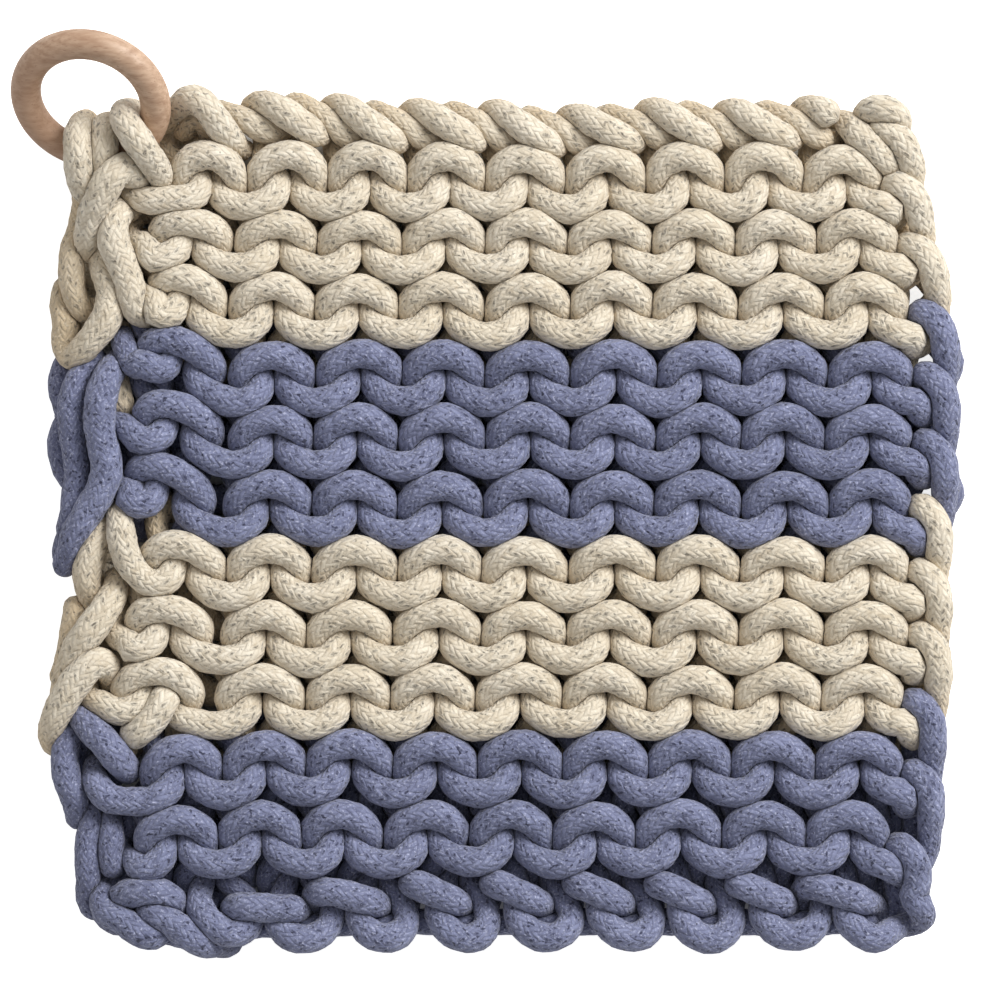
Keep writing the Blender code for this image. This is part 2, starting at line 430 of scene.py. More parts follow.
@dataclass
class RingPlace:
    """Where the hanging ring lies, the same as in the CAD, in millimetres."""

    outer_diameter: float = 37.6
    section: float = 7.0
    tilt_deg: float = 39.0
    turn_deg: float = -19.0
    centre: tuple = (-90.67, 90.54, 18.6)

    def radius(self) -> float:
        """Gives the radius of the circle through the middle of the wood."""
        return (self.outer_diameter - self.section) / 2

    def matrix(self) -> Matrix:
        """Gives the ring's own frame, with its axis as Z."""
        turn = Matrix.Rotation(math.radians(self.turn_deg), 4, "Z")
        tilt = Matrix.Rotation(math.radians(self.tilt_deg), 4, "X")
        return Matrix.Translation(Vector(self.centre)) @ turn @ tilt

    def keep_off(self, points: np.ndarray, gap: float) -> np.ndarray:
        """Moves points out of the wood.

        Args:
            points: places in millimetres, in any number of leading axes.
            gap: how far from the middle of the wood the points stay.

        Returns:
            The places, moved where they were too near.
        """
        frame_of_ring = np.array(self.matrix())
        turn, middle = frame_of_ring[:3, :3], frame_of_ring[:3, 3]
        local = (points - middle) @ turn
        out = np.hypot(local[..., 0], local[..., 1]) + 1e-9
        across = out - self.radius()
        far = np.hypot(across, local[..., 2]) + 1e-9
        push = np.maximum(gap - far, 0.0) / far
        scale = (out + across * push) / out
        x, y, z = (local[..., axis] for axis in range(3))
        return np.stack([x * scale, y * scale, z * (1 + push)], axis=-1) @ turn.T + middle


@dataclass(frozen=True)
class Squeeze:
    """How the soft cord is pressed thin where it crosses other cord inside the pad."""

    middle: float = PAD_MIDDLE  # height over the table where it is pressed most, in millimetres
    reach: float = 3.8  # how far above and below the pressing fades
    loss: float = 0.2  # part of the thickness that is lost there

    def share(self, height: np.ndarray) -> np.ndarray:
        """Gives the part of the full thickness that is left at a height over the table."""
        return 1.0 - self.loss * np.exp(-(((height - self.middle) / self.reach) ** 2))


@dataclass
class Settling:
    """Eases the strands apart where they would share the same space, in millimetres."""

    spacing: float = 2.4
    contact: float = 5.9  # distance between the middles of two cords that touch
    search_margin: float = 1.2  # how much further apart two points are still watched
    edge_radius: float = 3.35  # how near a cord's middle comes to the pad's face or back
    rounds: int = 12  # how often the touching points are looked up anew
    steps: int = 8  # how many small moves follow each time
    push: float = 0.30  # part of an overlap that one move takes away
    smoothing: float = 0.22  # part of the difference between neighbours' moves that is evened out
    give: tuple = (0.45, 0.45, 0.9)  # how readily cords move along X, Y and Z
    squash: float = 1.35  # how much flatter than round a cord is pressed
    ring_reach: float = 34.0  # distance from the ring's middle within which cords may rise over the pad
    ring_high: float = 60.0
    ring_gap: float = 6.9  # distance between the middles of the cord and the wood
    own_gap: int = 5  # how many points apart two points of one strand have to be to count as touching
    squeeze: Squeeze = Squeeze()  # how much thinner the cord is inside the pad

    def pairs(self, p: np.ndarray, strand: np.ndarray) -> tuple:
        """Finds the pairs of points that may touch.

        Args:
            p: every point of every strand.
            strand: number of the strand that each point is on.

        Returns:
            Two index lists, one for each side of a pair.
        """
        tree = tree_of(p)
        first, second = [], []
        for i, co in enumerate(p):
            for _, k, _ in tree.find_range(co, self.contact + self.search_margin):
                if k > i and (strand[k] != strand[i] or k - i > self.own_gap):
                    first.append(i)
                    second.append(k)
        return np.array(first), np.array(second)

    def settle(self, strands: list, ring: RingPlace) -> list:
        """Eases all the strands together.

        Args:
            strands: the strands, heights from the middle of the pad.
            ring: the ring that the cord goes round.

        Returns:
            The runs after easing, heights from the table.
        """
        runs = [smooth_run(one.points, self.spacing) for one in strands]
        strand = strand_numbers(runs)
        keep = 1.0 - np.array([one.hold for one in strands])[strand][:, None]
        start = np.vstack(runs)
        start[:, 2] += PAD_MIDDLE
        p = start.copy()
        joined = (strand[1:] == strand[:-1])[:, None]
        give = np.array(self.give)
        stretch = np.array((1.0, 1.0, self.squash))
        low, high = self.edge_radius, 2 * PAD_MIDDLE - self.edge_radius
        from_ring = np.hypot(start[:, 0] - ring.centre[0], start[:, 1] - ring.centre[1])
        near_ring = from_ring < self.ring_reach
        top = np.where(near_ring, self.ring_high, high)
        for _ in range(self.rounds):
            i, k = self.pairs(p, strand)
            for _ in range(self.steps):
                gap = (p[k] - p[i]) * stretch
                far = np.linalg.norm(gap, axis=1) + 1e-6
                girth = self.squeeze.share(p[:, 2])
                overlap = np.maximum(self.contact * (girth[i] + girth[k]) / 2 - far, 0.0)
                move = gap / far[:, None] * (overlap * self.push)[:, None] * give / stretch
                np.add.at(p, i, -move)
                np.add.at(p, k, move)
                shift = p - start
                step = np.where(joined, shift[1:] - shift[:-1], 0.0) * self.smoothing
                shift[:-1] += step
                shift[1:] -= step
                shift *= keep
                p = start + shift
                p[:, 2] = np.clip(p[:, 2], low, top)
                p[near_ring] = ring.keep_off(p[near_ring], self.ring_gap)
        ends = np.flatnonzero(strand[1:] != strand[:-1]) + 1
        return np.split(p, ends)


@dataclass
class BraidedTube:
    """The cord's skin: a round braid that flattens against what it touches, in millimetres."""

    radius: float = 3.48
    sides: int = 22  # number of vertices round the cord
    ring_spacing: float = 1.2  # distance between two rings of vertices
    cell_length: float = 1.9  # length of one stitch of the braid
    lump: float = 0.09  # how uneven the cord is
    # size, rate along, count round and start of each wave of that unevenness
    lumps: tuple = ((1.0, 0.9, 2, 0.0), (0.7, 2.1, -3, 1.0), (0.9, 0.37, 0, 0.5))
    tip: float = 0.02  # how blunt the cord's rounded ends are
    neighbours: int = 14  # the most touching points that a ring of vertices takes into account
    search_margin: float = 0.4  # how far off cord is still taken as touching
    passes: int = 2  # how often the skin is pressed flat
    ring_skin: float = 3.53  # distance from the middle of the wood to the cord's skin
    table_gap: float = 0.05  # height of the skin where it lies on the table
    softness: float = 0.16  # how gently the skin starts to give way
    own_gap: float = 10.5  # distance along one strand past which it can touch itself
    upright: tuple = (0.0, 0.3, 1.0)  # a direction that no cord starts along
    squeeze: Squeeze = Squeeze()  # how much thinner the cord is inside the pad

    def girth(self, along: np.ndarray, angle: np.ndarray) -> np.ndarray:
        """Gives the cord's radius, a little uneven as soft cord is and rounded off at its two ends.

        Args:
            along: distance along the cord, as a column.
            angle: angle round the cord, as a row.

        Returns:
            The radius at each place.
        """
        uneven = sum(size * np.sin(a * along + b * angle + late) for size, a, b, late in self.lumps)
        left = np.minimum(along, along[-1] - along) / self.radius
        narrowing = np.sqrt(1 - (1 - np.clip(left, self.tip, 1.0)) ** 2)
        return (self.radius + self.lump * uneven) * narrowing

    def press(self, past: np.ndarray) -> np.ndarray:
        """Says how far the skin gives way where it reaches past the plane between two turns of cord.

        Args:
            past: how far each vertex reaches past the plane.

        Returns:
            The distance that each vertex moves back, which starts softly.
        """
        soft = np.clip(past + self.softness, 0.0, 2 * self.softness) ** 2 / (4 * self.softness)
        return np.where(past > self.softness, past, soft)

    def frames(self, run: np.ndarray) -> tuple:
        """Carries two cross axes along a run without twisting them.

        Args:
            run: evenly spaced points.

        Returns:
            The two cross axes at each point.
        """
        tangent = np.gradient(run, axis=0)
        tangent /= np.linalg.norm(tangent, axis=1)[:, None] + 1e-12
        side = np.cross(tangent[0], self.upright)
        sides = np.empty_like(run)
        for n, t in enumerate(tangent):
            side = side - t * side.dot(t)
            side = side / (np.linalg.norm(side) + 1e-12)
            sides[n] = side
        return sides, np.cross(tangent, sides)

    def skin(self, runs: list, girths: list, ring: RingPlace) -> list:
        """Covers every run with a tube and presses the tubes flat where they touch.

        Args:
            runs: points of each strand, heights from the table.
            girths: thickness of each strand as a part of the usual one.
            ring: the ring that the cord goes round.

        Returns:
            For each strand, its vertices as rings by sides by XYZ.
        """
        runs = [smooth_run(r, self.ring_spacing) for r in runs]
        strand = strand_numbers(runs)
        centres = np.vstack(runs)
        tree = tree_of(centres)
        own = int(self.own_gap / self.ring_spacing)
        near = np.full((len(centres), self.neighbours), -1)
        for i, co in enumerate(centres):
            found = 0
            for _, k, _ in tree.find_range(co, 2 * self.radius + self.search_margin):
                if found < self.neighbours and (strand[k] != strand[i] or abs(k - i) > own):
                    near[i, found] = k
                    found += 1
        skins, start = [], 0
        angle = np.arange(self.sides) * 2 * math.pi / self.sides
        for run, girth in zip(runs, girths):
            a, b = self.frames(run)
            r = self.girth(np.arange(len(run))[:, None] * self.ring_spacing, angle[None, :])
            r = r * girth * self.squeeze.share(run[:, 2:3])
            v = run[:, None] + r[..., None] * (
                a[:, None] * np.cos(angle)[None, :, None] + b[:, None] * np.sin(angle)[None, :, None]
            )
            touching = near[start : start + len(run)]
            for _ in range(self.passes):
                for n in range(self.neighbours):
                    rows = np.flatnonzero(touching[:, n] >= 0)
                    other = centres[touching[rows, n]]
                    gap = other - run[rows]
                    far = np.linalg.norm(gap, axis=1)[:, None] + 1e-9
                    normal = gap / far
                    past = ((v[rows] - run[rows][:, None]) * normal[:, None]).sum(-1) - far / 2
                    v[rows] -= self.press(past)[..., None] * normal[:, None]
            v[..., 2] = np.maximum(v[..., 2], self.table_gap)
            v = ring.keep_off(v, self.ring_skin)
            skins.append(v)
            start += len(run)
        return skins

    def mesh(self, name: str, skins: list) -> bpy.types.Object:
        """Builds one mesh object from the skins of its strands.

        Args:
            name: name of the piece.
            skins: vertices of each strand, as rings by sides by XYZ, in millimetres.

        Returns:
            The object, with its map for the braid.
        """
        verts, faces, maps, base = [], [], [], 0
        for v in skins:
            rings = len(v)
            verts.append(v.reshape(-1, 3))
            verts.append(v[[0, -1]].mean(axis=1))
            n, m = np.meshgrid(np.arange(rings - 1), np.arange(self.sides), indexing="ij")
            n, m = n.ravel(), m.ravel()
            m1 = (m + 1) % self.sides
            here, ahead = n * self.sides, (n + 1) * self.sides
            quad = np.stack([here + m, here + m1, ahead + m1, ahead + m], axis=1)
            step = self.ring_spacing / self.cell_length
            u0, v0 = n * step, m / self.sides
            u1, v1 = u0 + step, v0 + 1 / self.sides
            uv = np.stack([u0, v0, u0, v1, u1, v1, u1, v0], axis=1).reshape(-1, 2)
            faces.extend((quad + base).tolist())
            maps.append(uv)
            first, last = base + rings * self.sides, base + rings * self.sides + 1
            end = (rings - 1) * self.sides
            for k in range(self.sides):
                k1 = (k + 1) % self.sides
                faces.append([first, base + k1, base + k])
                faces.append([last, base + end + k, base + end + k1])
                maps.append(np.zeros((6, 2)))
            base += rings * self.sides + 2
        data = smooth_mesh(name, (np.vstack(verts) * MM).tolist(), faces)
        layer = data.uv_layers.new(name=CORD_MAP)
        layer.data.foreach_set("uv", np.vstack(maps).astype(np.float32).ravel())
        data.update()
        return add_object(name, data)


@dataclass
class Sockets:
    """A node tree with short calls that add nodes and join them.

    A value that goes into a node is a plain number or vector, or the output of another node.
    """

    tree: bpy.types.NodeTree

    def add(self, kind: str) -> bpy.types.Node:
        """Adds a shader node, named as Blender names its kind."""
        return self.tree.nodes.new("ShaderNode" + kind)

    def put(self, socket: Socket, value: object) -> None:
        """Sets an input to a plain value, or joins it to another node's output."""
        if isinstance(value, Socket):
            self.tree.links.new(value, socket)
        else:
            socket.default_value = value

    def math(self, operation: str, *values: object, clamp: bool = False) -> Socket:
        """Adds a Math node.

        Args:
            operation: Blender's name for it.
            values: its inputs, as numbers or outputs of other nodes.
            clamp: whether the result stays from 0 to 1.

        Returns:
            The node's output.
        """
        node = self.add("Math")
        node.operation = operation
        node.use_clamp = clamp
        for socket, value in zip(node.inputs, values):
            self.put(socket, value)
        return node.outputs[0]

    def plus(self, first: object, second: object) -> Socket:
        """Adds two values."""
        return self.math("ADD", first, second)

    def minus(self, first: object, second: object) -> Socket:
        """Takes the second value from the first."""
        return self.math("SUBTRACT", first, second)

    def times(self, first: object, second: object) -> Socket:
        """Multiplies two values."""
        return self.math("MULTIPLY", first, second)

    def pick(self, mask: object, first: object, second: object) -> Socket:
        """Gives the first value where the mask is 1, and the second where it is 0."""
        return self.plus(self.times(first, mask), self.times(second, self.minus(1.0, mask)))

    def vector(self, operation: str, first: object, second: object) -> bpy.types.Node:
        """Adds a Vector Math node."""
        node = self.add("VectorMath")
        node.operation = operation
        self.put(node.inputs[0], first)
        self.put(node.inputs[1], second)
        return node

    def parts(self, vector: object) -> bpy.types.bpy_prop_collection:
        """Splits a vector into its X, Y and Z."""
        node = self.add("SeparateXYZ")
        self.put(node.inputs[0], vector)
        return node.outputs

    def in_space(self) -> Socket:
        """Gives the place of what is shaded, in metres."""
        return self.add("TexCoord").outputs["Object"]

    def mix(self, share: object, first: object, second: object) -> Socket:
        """Adds a Mix node for two colours.

        Args:
            share: how much of the second colour shows.
            first: the first colour, as red, green and blue or another node's output.
            second: the second colour, in the same way.

        Returns:
            The mixed colour.
        """
        node = self.add("Mix")
        node.data_type = "RGBA"
        for name, value in (("Factor_Float", share), ("A_Color", first), ("B_Color", second)):
            socket = next(s for s in node.inputs if s.identifier == name)
            self.put(socket, (*value, 1.0) if isinstance(value, tuple) else value)
        return next(s for s in node.outputs if s.identifier == "Result_Color")

    def span(self, value: object, low: float, high: float, to_low: float, to_high: float) -> Socket:
        """Adds a Map Range node.

        Args:
            value: what is mapped.
            low: value that gives to_low.
            high: value that gives to_high.
            to_low: result at low.
            to_high: result at high.

        Returns:
            The mapped value.
        """
        node = self.add("MapRange")
        for socket, item in zip(node.inputs, (value, low, high, to_low, to_high)):
            self.put(socket, item)
        return node.outputs[0]

    def layers(self, colour: object, coats: tuple) -> Socket:
        """Lays coats of colour over each other.

        Args:
            colour: the colour underneath.
            coats: for each coat its mask, the mask's value where it starts to show and where it shows
                most, how strongly it shows there, and its colour.

        Returns:
            The colour on top.
        """
        for mask, low, high, most, coat in coats:
            colour = self.mix(self.span(mask, low, high, 0.0, most), colour, coat)
        return colour

    def noise(self, place: object, scale: float, detail: float, rough: float = 0.5) -> Socket:
        """Adds a Noise Texture node.

        Args:
            place: the coordinates that it reads.
            scale: its scale.
            detail: how many finer layers it has.
            rough: how strong the finer layers are.

        Returns:
            Its value, about 0.5 on average.
        """
        node = self.add("TexNoise")
        self.put(node.inputs["Vector"], place)
        for name, value in (("Scale", scale), ("Detail", detail), ("Roughness", rough)):
            node.inputs[name].default_value = value
        return node.outputs["Fac"]

    def chance(self, *parts: object) -> Socket:
        """Adds a White Noise node that gives one steady random value for each set of whole numbers."""
        join = self.add("CombineXYZ")
        for socket, value in zip(join.inputs, parts):
            self.put(socket, value)
        node = self.add("TexWhiteNoise")
        self.put(node.inputs["Vector"], join.outputs[0])
        return node.outputs["Value"]

    def bump(self, shader: bpy.types.Node, height: object, strength: float, depth: float) -> None:
        """Gives a shader fine relief.

        Args:
            shader: the shader.
            height: the relief.
            strength: how strongly it shows.
            depth: its depth in metres.
        """
        node = self.add("Bump")
        node.inputs["Strength"].default_value = strength
        node.inputs["Distance"].default_value = depth
        self.put(node.inputs["Height"], height)
        self.put(shader.inputs["Normal"], node.outputs[0])


def new_material(name: str) -> tuple:
    """Starts a material.

    Args:
        name: its name.

    Returns:
        The material, its tree with short calls, and its shader.
    """
    material = bpy.data.materials.new(name)
    material.use_nodes = True
    return material, Sockets(material.node_tree), material.node_tree.nodes["Principled BSDF"]


@dataclass
class ShaderGroups:
    """The node groups that several materials use, each built once."""

    cells_round: int = 16  # number of braid stitches round the cord
    repeat: float = 4.0  # stitches after which the braid repeats: two over, two under
    roundness: float = 0.8  # how round a strand of the braid is
    dip: float = 0.65  # how far a strand dips where it goes under, as a part of its height
    fleck_slim: float = 2.6
    fleck_short: float = 1.25
    # scale, detail and roughness of each noise of the cotton
    fibre: dict = field(
        default_factory=lambda: {
            "Fuzz": (1700.0, 3.0, 0.65),
            "Mottle": (520.0, 2.0, 0.55),
            "Drift": (45.0, 2.0, 0.5),
            "Speck": (900.0, 1.0, 0.4),
        }
    )
    built: dict = field(default_factory=dict)

    def start(self, name: str, place: str, number: str, default: float, outputs: tuple) -> tuple:
        """Makes an empty group that takes a place and a number, and puts out values.

        Args:
            name: name of the group.
            place: name of the input for the place.
            number: name of the input for the number.
            default: the number, unless a material sets its own.
            outputs: names of the values.

        Returns:
            The tree with short calls, the inputs' values and the outputs' sockets.
        """
        tree = bpy.data.node_groups.new(name, "ShaderNodeTree")
        tree.interface.new_socket(place, in_out="INPUT", socket_type="NodeSocketVector")
        socket = tree.interface.new_socket(number, in_out="INPUT", socket_type="NodeSocketFloat")
        socket.default_value = default
        for label in outputs:
            tree.interface.new_socket(label, in_out="OUTPUT", socket_type="NodeSocketFloat")
        self.built[name] = tree
        given, result = tree.nodes.new("NodeGroupInput"), tree.nodes.new("NodeGroupOutput")
        return Sockets(tree), given.outputs, result.inputs

    def braid(self) -> None:
        """Builds the group for a round braid laid two over, two under.

        It takes a place on the cord and gives height, painted shade for the gaps between strands, fleck and
        strand tone.
        """
        values = ("Height", "Painted Gap Shade", "Fleck", "Tone")
        s, given, result = self.start("round braid", "Place On Cord", "Fleck Share", 0.5, values)
        place = s.parts(given["Place On Cord"])
        along, around = place["X"], s.times(place["Y"], float(self.cells_round))
        p, q = s.plus(along, around), s.minus(along, around)
        ip, iq = s.math("FLOOR", p), s.math("FLOOR", q)
        order = s.math("FLOORED_MODULO", s.minus(ip, iq), self.repeat)
        on_top = s.math("LESS_THAN", order, 1.5)
        over_p = s.math("FLOORED_MODULO", s.plus(s.minus(q, ip), 1.0), self.repeat)
        over_q = s.math("FLOORED_MODULO", s.minus(s.minus(p, iq), 2.0), self.repeat)
        across = s.pick(on_top, s.minus(p, ip), s.minus(q, iq))
        over = s.pick(on_top, over_p, over_q)
        crown = s.math("POWER", s.math("SINE", s.times(across, math.pi), clamp=True), self.roundness)
        swell = s.math("SINE", s.times(over, math.pi / 2), clamp=True)
        height = s.times(crown, s.math("MULTIPLY_ADD", swell, self.dip, 1 - self.dip))
        s.put(result["Height"], height)
        # painted shade: darkest where the strands dip into the gaps between them
        s.put(result["Painted Gap Shade"], s.span(height, 0.05, 0.6, 1.0, 0.0))
        lane = s.pick(on_top, ip, iq)
        other = s.pick(on_top, s.minus(q, over_p), s.minus(p, over_q))
        turns = 2.0 * self.cells_round
        wrapped = s.math("FLOORED_MODULO", s.math("ROUND", s.minus(lane, other)), turns)
        where = s.math("ROUND", s.plus(lane, other))
        luck = s.chance(where, s.math("MINIMUM", wrapped, s.minus(turns, wrapped)), on_top)
        side = s.times(s.math("ABSOLUTE", s.minus(across, 0.5)), self.fleck_slim)
        length = s.times(s.math("ABSOLUTE", s.minus(over, 1.0)), self.fleck_short)
        dash = s.math("SQRT", s.plus(s.times(side, side), s.times(length, length)))
        chosen = s.math("LESS_THAN", luck, given["Fleck Share"])
        s.put(result["Fleck"], s.times(chosen, s.span(dash, 0.35, 1.0, 1.0, 0.0)))
        s.put(result["Tone"], s.chance(where, wrapped, 3.0))

    def cotton(self) -> None:
        """Builds the group for soft cotton fibre.

        It takes a place in space and gives fine fuzz, small mottling, slow drift, specks, and painted shade
        that is strongest deep in the knitting.
        """
        middle = PAD_MIDDLE * MM
        s, given, result = self.start("cotton fibre", "Place", "Mid Height", middle, (*self.fibre, "Painted Deep Shade"))
        away = s.math("ABSOLUTE", s.minus(s.parts(given["Place"])["Z"], given["Mid Height"]))
        # painted shade: full near the pad's middle height, fading out towards its face and back
        s.put(result["Painted Deep Shade"], s.span(away, 1.5 * MM, 7.0 * MM, 1.0, 0.0))
        for name, noise in self.fibre.items():
            s.put(result[name], s.noise(given["Place"], *noise))

    def use(self, name: str, sockets: Sockets, **inputs: object) -> bpy.types.bpy_prop_collection:
        """Places a built group in a material.

        Args:
            name: name of the group.
            sockets: the material's tree.
            inputs: value or output for each input, its name's spaces as underscores.

        Returns:
            The group's outputs.
        """
        node = sockets.add("Group")
        node.node_tree = self.built[name]
        for label, value in inputs.items():
            sockets.put(node.inputs[label.replace("_", " ")], value)
        return node.outputs


@dataclass(frozen=True)
class CordFinish:
    """Matte braided cotton.

    Args:
        name: name of the material.
        base: colour of most of the cotton.
        warm: the second colour that it drifts to.
        dark_tone_and_gap_shade: a darker colour that random tone and mottling drift to, and also painted
            shade in the gaps between the strands.
        light: colour of the palest fibres.
        fleck: colour of the small flecks.
        fleck_share: how many stitches of the braid hold a dark fibre.
        speck_share: how strongly loose dark specks show.
        painted_gap_shade_share: how strongly painted shade darkens the gaps between strands.
        deep: painted shade, the darker, warmer colour given to the cotton deep between the stitches.
        waver: how far the strands of the braid waver, in stitches of the braid.
        relief_mm: depth of the braid and the fuzz.
    """

    name: str
    base: tuple
    warm: tuple
    dark_tone_and_gap_shade: tuple
    light: tuple
    fleck: tuple
    fleck_share: float
    speck_share: float
    painted_gap_shade_share: float
    # painted shade deep between the stitches
    deep: tuple
    waver: float = 0.05
    relief_mm: float = 0.24

    def make(self, groups: ShaderGroups) -> bpy.types.Material:
        """Builds the material.

        Args:
            groups: the shared node groups.

        Returns:
            The material.
        """
        material, s, shader = new_material(self.name)
        on_cord = s.add("UVMap")
        on_cord.uv_map = CORD_MAP
        cotton = groups.use("cotton fibre", s, Place=s.in_space())
        shift = s.times(s.minus(cotton["Mottle"], 0.5), self.waver)
        place = s.vector("ADD", on_cord.outputs[0], shift).outputs[0]
        braid = groups.use("round braid", s, Place_On_Cord=place, Fleck_Share=self.fleck_share)
        coats = (
            (cotton["Drift"], 0.35, 0.65, 1.0, self.warm),
            # painted shade deep between the stitches
            (cotton["Painted Deep Shade"], 0.0, 1.0, 1.0, self.deep),
            (braid["Tone"], 0.0, 1.0, 0.4, self.dark_tone_and_gap_shade),
            (cotton["Mottle"], 0.5, 0.72, 0.5, self.dark_tone_and_gap_shade),
            (cotton["Fuzz"], 0.54, 0.75, 0.55, self.light),
            # painted shade in the gaps between the strands of the braid
            (braid["Painted Gap Shade"], 0.0, 1.0, self.painted_gap_shade_share, self.dark_tone_and_gap_shade),
        )
        dark = s.times(braid["Fleck"], s.span(cotton["Fuzz"], 0.35, 0.6, 1.0, 0.5))
        speck = s.span(cotton["Speck"], 0.66, 0.72, 0.0, self.speck_share)
        colour = s.mix(s.math("MAXIMUM", dark, speck), s.layers(self.base, coats), self.fleck)
        s.put(shader.inputs["Base Color"], colour)
        s.put(shader.inputs["Roughness"], s.span(cotton["Mottle"], 0.3, 0.7, 0.82, 0.96))
        shader.inputs["Specular IOR Level"].default_value = 0.2
        shader.inputs["Sheen Weight"].default_value = 0.2
        shader.inputs["Sheen Roughness"].default_value = 0.6
        relief = s.math("MULTIPLY_ADD", cotton["Fuzz"], 0.7, braid["Height"])
        relief = s.math("MULTIPLY_ADD", cotton["Mottle"], 1.0, relief)
        s.bump(shader, s.minus(relief, s.times(dark, 0.35)), 1.0, self.relief_mm * MM)
        return material


CREAM_FINISH = CordFinish(
    name="cream_cotton_cord",
    base=(0.80, 0.735, 0.62),
    warm=(0.76, 0.685, 0.555),
    # darker tone, and painted shade in the gaps between the braid's strands
    dark_tone_and_gap_shade=(0.46, 0.375, 0.26),
    light=(0.90, 0.86, 0.78),
    fleck=(0.12, 0.105, 0.085),
    fleck_share=0.2,
    speck_share=0.6,
    # strength of the painted shade in the braid's gaps
    painted_gap_shade_share=0.28,
    # painted shade deep between the stitches
    deep=(0.66, 0.53, 0.36),
)
BLUE_FINISH = CordFinish(
    name="blue_cotton_cord",
    base=(0.243, 0.266, 0.42),
    warm=(0.21, 0.232, 0.37),
    # darker tone, and painted shade in the gaps between the braid's strands
    dark_tone_and_gap_shade=(0.075, 0.083, 0.155),
    light=(0.76, 0.79, 1.0),
    fleck=(0.018, 0.02, 0.05),
    fleck_share=0.3,
    speck_share=0.85,
    # strength of the painted shade in the braid's gaps
    painted_gap_shade_share=0.42,
    # painted shade deep between the stitches
    deep=(0.16, 0.175, 0.29),
)


@dataclass(frozen=True)
class WoodFinish:
    """Plain sanded light wood with fine grain along the ring's cut, and painted shade on the side away from
    the lamp.
    """

    name: str = "sanded_ring_wood"
    light: tuple = (0.62, 0.445, 0.32)
    dark: tuple = (0.385, 0.24, 0.155)
    pore: tuple = (0.28, 0.15, 0.09)
    painted_shade: tuple = (0.36, 0.20, 0.12)  # painted shade: the darker colour of the side away from the lamp
    painted_shade_share: float = 0.55
    grain_turn: tuple = (0.3, 0.2, 0.5)  # how the grain is turned, in radians
    grain_scale: tuple = (160.0, 900.0, 900.0)  # how fine it is along its three directions
    painted_shade_fades_toward: tuple = (0.8, 0.6, 0.0)  # direction towards the lamp, in which the painted shade fades out

    def make(self) -> bpy.types.Material:
        """Builds the material."""
        material, s, shader = new_material(self.name)
        place = s.in_space()
        stretch = s.add("Mapping")
        s.put(stretch.inputs["Vector"], place)
        stretch.inputs["Rotation"].default_value = self.grain_turn
        stretch.inputs["Scale"].default_value = self.grain_scale
        grain = s.noise(stretch.outputs[0], 1.0, 3.0, 0.6)
        coats = (
            (grain, 0.35, 0.7, 1.0, self.dark),
            (s.noise(place, 90.0, 2.0), 0.35, 0.75, 0.45, self.dark),
        )
        aside = s.vector("DOT_PRODUCT", place, self.painted_shade_fades_toward).outputs["Value"]
        # painted shade: darker towards the lower left, away from the lamp at the upper right
        painted_shade = s.span(aside, -0.036, -0.002, self.painted_shade_share, 0.0)
        colour = s.mix(painted_shade, s.layers(self.light, coats), self.painted_shade)
        pores = s.noise(stretch.outputs[0], 3.2, 1.0)
        s.put(shader.inputs["Base Color"], s.layers(colour, ((pores, 0.62, 0.72, 0.5, self.pore),)))
        s.put(shader.inputs["Roughness"], s.span(grain, 0.3, 0.7, 0.42, 0.58))
        s.bump(shader, grain, 0.5, 0.05 * MM)
        return material
